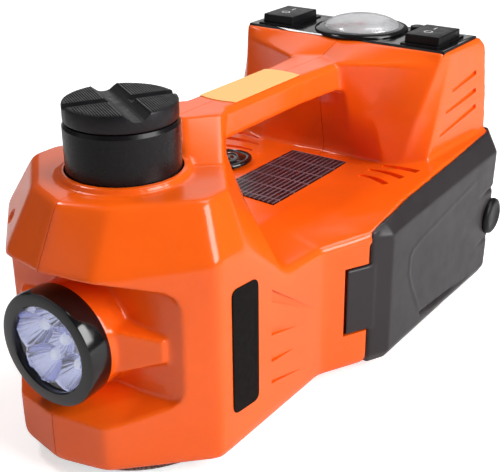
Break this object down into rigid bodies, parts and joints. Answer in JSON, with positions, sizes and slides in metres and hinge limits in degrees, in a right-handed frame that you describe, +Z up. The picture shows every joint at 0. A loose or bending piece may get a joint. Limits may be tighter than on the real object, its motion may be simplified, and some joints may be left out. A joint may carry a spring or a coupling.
{
  "type": "electric car jack",
  "caption": "Electric hydraulic car jack with a telescopic ram, ribbed saddle, carrying handle, built-in tyre inflator with a gauge, a torch, and a draw-off storage cover.",
  "frame": {"origin": "on the floor under the ram's axis, at the middle of the cast foot", "axes": "+Z up along the ram, -Y towards the torch at the front, +Y towards the storage cover, +X to the right of someone who looks along +Y"},
  "size_m": [0.1616, 0.2865, 0.155],
  "materials": {
    "housing_orange": "glossy moulded ABS",
    "cover_grey": "fine-grained moulded plastic",
    "black_gloss": "polished moulded plastic",
    "black_plastic": "satin moulded plastic",
    "black_paint": "satin paint on machined steel",
    "foot_iron": "cast, lightly speckled",
    "steel": "ground steel",
    "ram_chrome": "ground and hard chromed",
    "brass": "turned",
    "pump_aluminium": "machined block",
    "dial_white": "printed dial",
    "needle_red": "painted pressed strip",
    "clear_lens": "clear moulded lens",
    "torch_lens": "clear moulded lens with a violet tint",
    "reflector": "vacuum-plated",
    "lamp": "clear epoxy lamp",
    "board_green": "solder-masked board",
    "patch_yellow": "printed film",
    "rubber_black": "moulded rubber"
  },
  "bodies": {
    "jack_body": {"jack_base": "foot_iron", "jack_cylinder": "black_paint", "cylinder_gland": "steel", "pump_block": "pump_aluminium", "oil_tank": "black_plastic", "release_valve": "brass", "pump_gearbox": "foot_iron", "pump_motor": "steel", "compressor_crankcase": "pump_aluminium", "compressor_motor": "steel", "compressor_cylinder": "pump_aluminium", "compressor_head": "brass", "hose_port": "brass", "cord_gland": "black_plastic", "control_board": "board_green", "housing_left": "housing_orange", "housing_right": "housing_orange", "housing_screws": "steel", "rear_feet": "rubber_black", "torch_bezel": "black_gloss", "torch_lens": "torch_lens", "torch_reflector": "reflector", "torch_leds": "lamp", "torch_board": "board_green", "control_panel": "black_gloss", "rocker_frames": "black_plastic", "lamp_switch": "black_plastic", "gauge_body": "steel", "gauge_dial": "dial_white", "gauge_bezel": "black_gloss", "gauge_lens": "clear_lens", "side_badges": "black_gloss", "deck_plate": "black_gloss", "filler_cap": "black_gloss", "handle_patch": "patch_yellow"},
    "ram_1": {"ram_stage_1": "ram_chrome"},
    "ram_2": {"ram_stage_2": "ram_chrome"},
    "ram_3": {"ram_stage_3": "ram_chrome", "saddle": "black_paint"},
    "jack_rocker": {"rocker_jack": "black_gloss"},
    "inflator_rocker": {"rocker_inflator": "black_gloss"},
    "needle": {"gauge_needle": "needle_red"},
    "torch_button": {"lamp_button": "black_gloss"},
    "cover": {"storage_cover": "cover_grey"},
    "knob_left": {"cover_knob_left": "black_plastic"},
    "knob_right": {"cover_knob_right": "black_plastic"}
  },
  "joints": [
    {"name": "ram_lift_1", "type": "slide", "parent": "jack_body", "child": "ram_1", "axis": [0, 0, 1], "range_m": [0, 0.098]},
    {"name": "ram_lift_2", "type": "slide", "parent": "ram_1", "child": "ram_2", "axis": [0, 0, 1], "range_m": [0, 0.098]},
    {"name": "ram_lift_3", "type": "slide", "parent": "ram_2", "child": "ram_3", "axis": [0, 0, 1], "range_m": [0, 0.098]},
    {"name": "jack_rocker_tilt", "type": "hinge", "parent": "jack_body", "child": "jack_rocker", "pos_m": [-0.045, 0.1975, 0.1432], "axis": [-1, 0, 0], "range_deg": [0, 16]},
    {"name": "inflator_rocker_tilt", "type": "hinge", "parent": "jack_body", "child": "inflator_rocker", "pos_m": [0.045, 0.1975, 0.1432], "axis": [1, 0, 0], "range_deg": [0, 16]},
    {"name": "needle_turn", "type": "hinge", "parent": "jack_body", "child": "needle", "pos_m": [0, 0.201, 0.1458], "axis": [0, 0, -1], "range_deg": [0, 270], "stiffness_Nm_per_rad": 0.00002, "springref_deg": -11.46},
    {"name": "torch_button_press", "type": "slide", "parent": "jack_body", "child": "torch_button", "axis": [0, 0, -1], "range_m": [0, 0.0015], "stiffness_N_per_m": 300, "springref_m": -0.003},
    {"name": "cover_draw", "type": "slide", "parent": "jack_body", "child": "cover", "axis": [0, 1, 0], "range_m": [0, 0.06]},
    {"name": "knob_left_press", "type": "slide", "parent": "cover", "child": "knob_left", "axis": [1, 0, 0], "range_m": [0, 0.002], "stiffness_N_per_m": 300, "springref_m": -0.003},
    {"name": "knob_right_press", "type": "slide", "parent": "cover", "child": "knob_right", "axis": [-1, 0, 0], "range_m": [0, 0.002], "stiffness_N_per_m": 300, "springref_m": -0.003}
  ]
}
